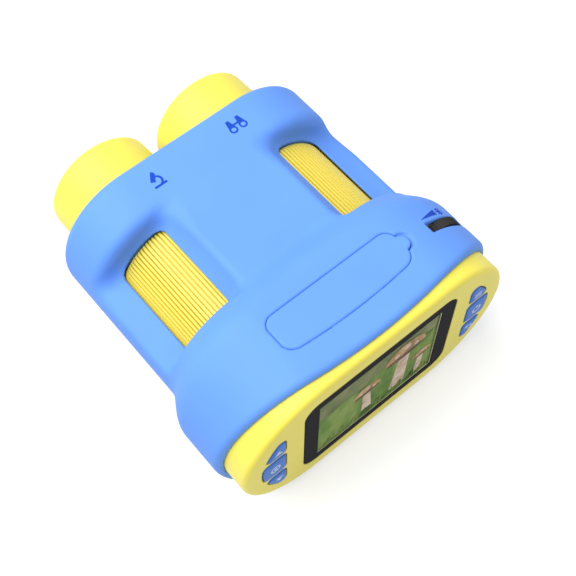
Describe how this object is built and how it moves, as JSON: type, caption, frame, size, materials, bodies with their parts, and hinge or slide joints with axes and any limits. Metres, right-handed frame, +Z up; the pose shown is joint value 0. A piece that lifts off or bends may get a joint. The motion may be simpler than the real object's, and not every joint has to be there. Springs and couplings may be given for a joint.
{
  "type": "toy binocular camera",
  "caption": "Children's binocular-shaped camera: yellow housing and barrels in a soft blue sleeve, ribbed focus drums, screen and buttons behind.",
  "frame": {"origin": "bottom centre of the bounding box, on the surface it stands on", "axes": "+Y forward along the barrels, +X to the right of the person holding it, +Z up"},
  "size_m": [0.111, 0.1198, 0.064],
  "materials": {
    "sleeve_blue": "matte",
    "housing_yellow": "satin",
    "drum_yellow": "satin",
    "button_blue": "satin",
    "dark_plastic": "matte",
    "lens_glass": "polished",
    "steel": "satin",
    "lamp_white": "satin",
    "screen_black": "gloss",
    "display": "gloss",
    "board_green": "satin",
    "battery_grey": "satin",
    "pot_grey": "satin"
  },
  "bodies": {
    "casing": {"sleeve": "sleeve_blue", "port_tray": "dark_plastic", "rear_housing": "housing_yellow", "front_housing": "housing_yellow", "mid_frame": "dark_plastic", "barrel_left": "housing_yellow", "barrel_right": "housing_yellow", "guide_rods": "steel", "objective_lens_left": "lens_glass", "objective_lens_right": "lens_glass", "retaining_ring_left": "dark_plastic", "retaining_ring_right": "dark_plastic", "light_ring": "lamp_white", "camera_left": "dark_plastic", "camera_right": "dark_plastic", "screen_glass": "screen_black", "display_panel": "display", "tact_switches": "dark_plastic", "main_board": "board_green", "port_board": "board_green", "battery": "battery_grey", "usb_port": "steel", "card_slot": "steel", "dimmer_pot": "pot_grey", "housing_screws": "steel"},
    "flap": {"port_flap": "sleeve_blue"},
    "drum_left": {"focus_drum_left": "drum_yellow"},
    "drum_right": {"focus_drum_right": "drum_yellow"},
    "cell_left": {"lens_cell_left": "dark_plastic", "focus_lens_left": "lens_glass"},
    "cell_right": {"lens_cell_right": "dark_plastic", "focus_lens_right": "lens_glass"},
    "dimmer": {"dimmer_wheel": "dark_plastic"},
    "button_left_top_key": {"button_left_top": "button_blue"},
    "button_left_middle_key": {"button_left_middle": "button_blue"},
    "button_left_bottom_key": {"button_left_bottom": "button_blue"},
    "button_right_top_key": {"button_right_top": "button_blue"},
    "button_right_middle_key": {"button_right_middle": "button_blue"},
    "button_right_bottom_key": {"button_right_bottom": "button_blue"}
  },
  "joints": [
    {"name": "flap_hinge", "type": "hinge", "parent": "casing", "child": "flap", "pos_m": [-0.0244, -0.0391, 0.064], "axis": [0, -1, 0], "range_deg": [0, 110]},
    {"name": "focus_left", "type": "hinge", "parent": "casing", "child": "drum_left", "pos_m": [-0.0215, 0.00175, 0.0303], "axis": [0, 1, 0], "range_deg": [-100, 100]},
    {"name": "cell_slide_left", "type": "slide", "parent": "casing", "child": "cell_left", "axis": [0, 1, 0], "range_m": [-0.0041, 0.0041]},
    {"name": "focus_right", "type": "hinge", "parent": "casing", "child": "drum_right", "pos_m": [0.0215, 0.00175, 0.0303], "axis": [0, 1, 0], "range_deg": [-100, 100]},
    {"name": "cell_slide_right", "type": "slide", "parent": "casing", "child": "cell_right", "axis": [0, 1, 0], "range_m": [-0.0041, 0.0041]},
    {"name": "dimmer_turn", "type": "hinge", "parent": "casing", "child": "dimmer", "pos_m": [0.03705, -0.0393, 0.04603], "axis": [0, 1, 0], "range_deg": [-135, 135]},
    {"name": "press_left_top", "type": "slide", "parent": "casing", "child": "button_left_top_key", "axis": [0, 1, 0], "range_m": [0, 0.0008], "stiffness_N_per_m": 800},
    {"name": "press_left_middle", "type": "slide", "parent": "casing", "child": "button_left_middle_key", "axis": [0, 1, 0], "range_m": [0, 0.0008], "stiffness_N_per_m": 800},
    {"name": "press_left_bottom", "type": "slide", "parent": "casing", "child": "button_left_bottom_key", "axis": [0, 1, 0], "range_m": [0, 0.0008], "stiffness_N_per_m": 800},
    {"name": "press_right_top", "type": "slide", "parent": "casing", "child": "button_right_top_key", "axis": [0, 1, 0], "range_m": [0, 0.0008], "stiffness_N_per_m": 800},
    {"name": "press_right_middle", "type": "slide", "parent": "casing", "child": "button_right_middle_key", "axis": [0, 1, 0], "range_m": [0, 0.0008], "stiffness_N_per_m": 800},
    {"name": "press_right_bottom", "type": "slide", "parent": "casing", "child": "button_right_bottom_key", "axis": [0, 1, 0], "range_m": [0, 0.0008], "stiffness_N_per_m": 800}
  ],
  "couplings": [
    {"joint": "cell_slide_left", "follows": "focus_left", "m_per_rad": 0.0023},
    {"joint": "cell_slide_right", "follows": "focus_right", "m_per_rad": 0.0023}
  ]
}
